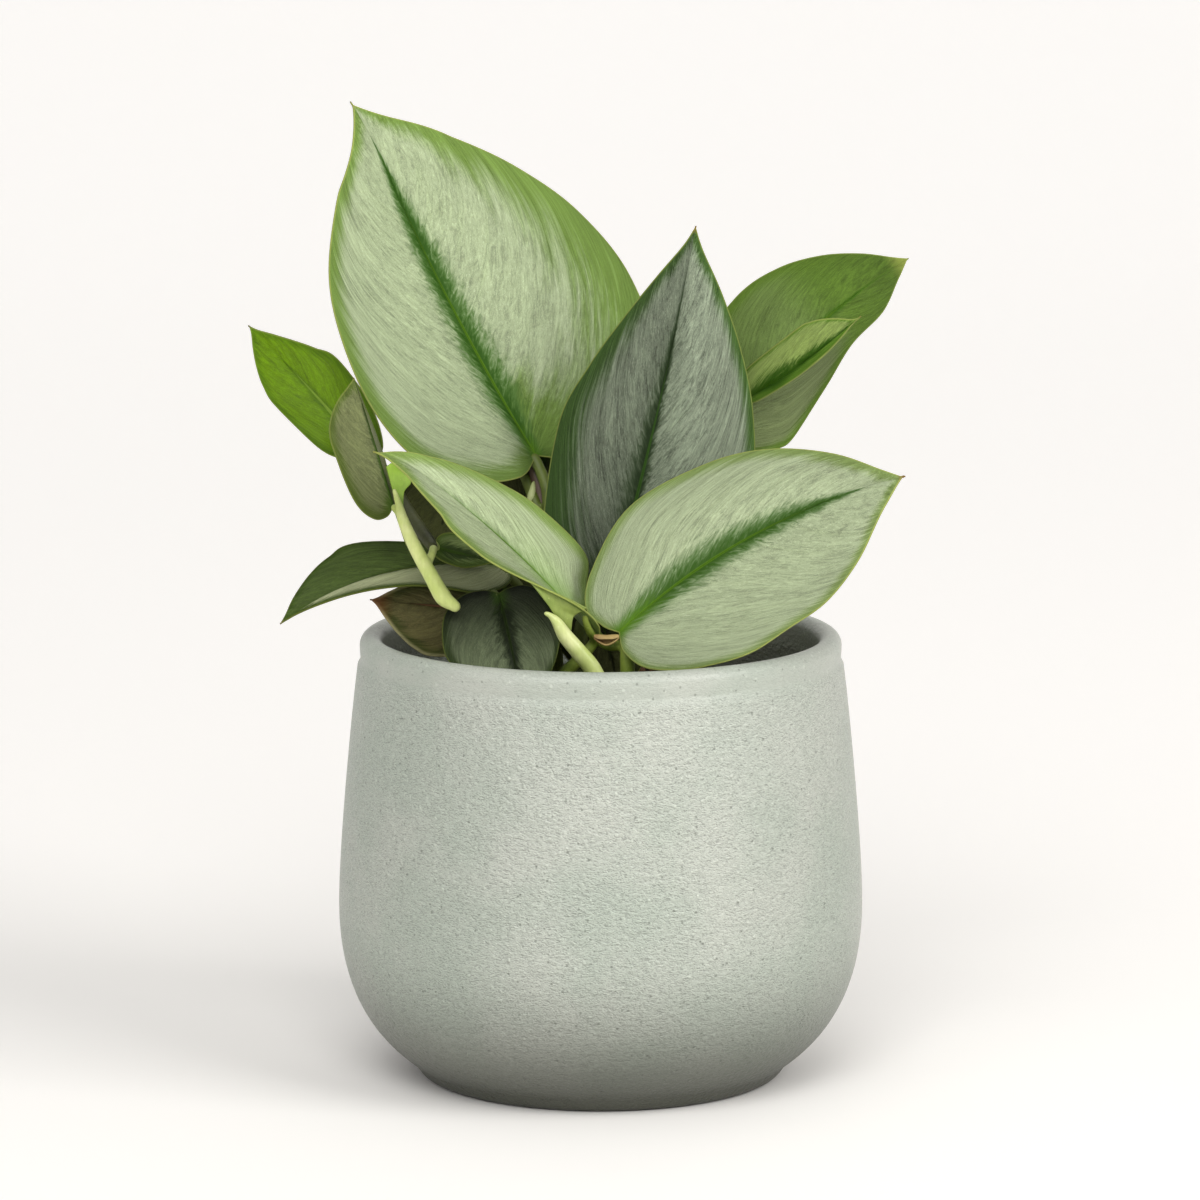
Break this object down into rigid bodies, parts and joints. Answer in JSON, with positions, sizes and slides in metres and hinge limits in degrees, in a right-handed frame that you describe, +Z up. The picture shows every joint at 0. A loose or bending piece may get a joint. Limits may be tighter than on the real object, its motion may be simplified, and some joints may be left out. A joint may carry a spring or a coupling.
{
  "type": "potted moonlight scindapsus",
  "caption": "Potted climbing foliage plant with heart-shaped silvery leaves on green stalks, in a rounded sage-green ceramic planter with a rolled rim.",
  "frame": {"origin": "centre of the planter's flat bottom, on the surface it stands on", "axes": "+X to the right and +Z up as in the picture, +Y away from the camera"},
  "size_m": [0.1929, 0.153, 0.2815],
  "materials": {
    "planter": "satin",
    "soil": "matte",
    "silver_leaf": "satin",
    "grey_leaf": "satin",
    "green_leaf": "satin",
    "dark_leaf": "satin",
    "old_leaf": "matte",
    "stem": "satin",
    "shoot": "satin"
  },
  "bodies": {
    "root": {"pot": "planter", "soil": "soil", "leaf_tall_silver": "silver_leaf", "leaf_centre_grey": "grey_leaf", "leaf_front_silver": "silver_leaf", "leaf_slanted_silver": "silver_leaf", "leaf_bright_young": "green_leaf", "leaf_folded_grey": "grey_leaf", "leaf_arching_dark": "dark_leaf", "leaf_shade_dark": "dark_leaf", "leaf_small_dark": "dark_leaf", "leaf_old_brown": "old_leaf", "leaf_heart_dark": "dark_leaf", "leaf_back_green": "green_leaf", "leaf_rolled_green": "green_leaf", "stem_left": "stem", "stem_centre": "stem", "stem_right": "stem", "stalk_centre_grey": "stem", "stalks_front": "stem", "stalk_arching": "stem", "stalk_heart": "stem", "stalk_old": "stem", "new_shoot": "shoot"}
  },
  "joints": []
}
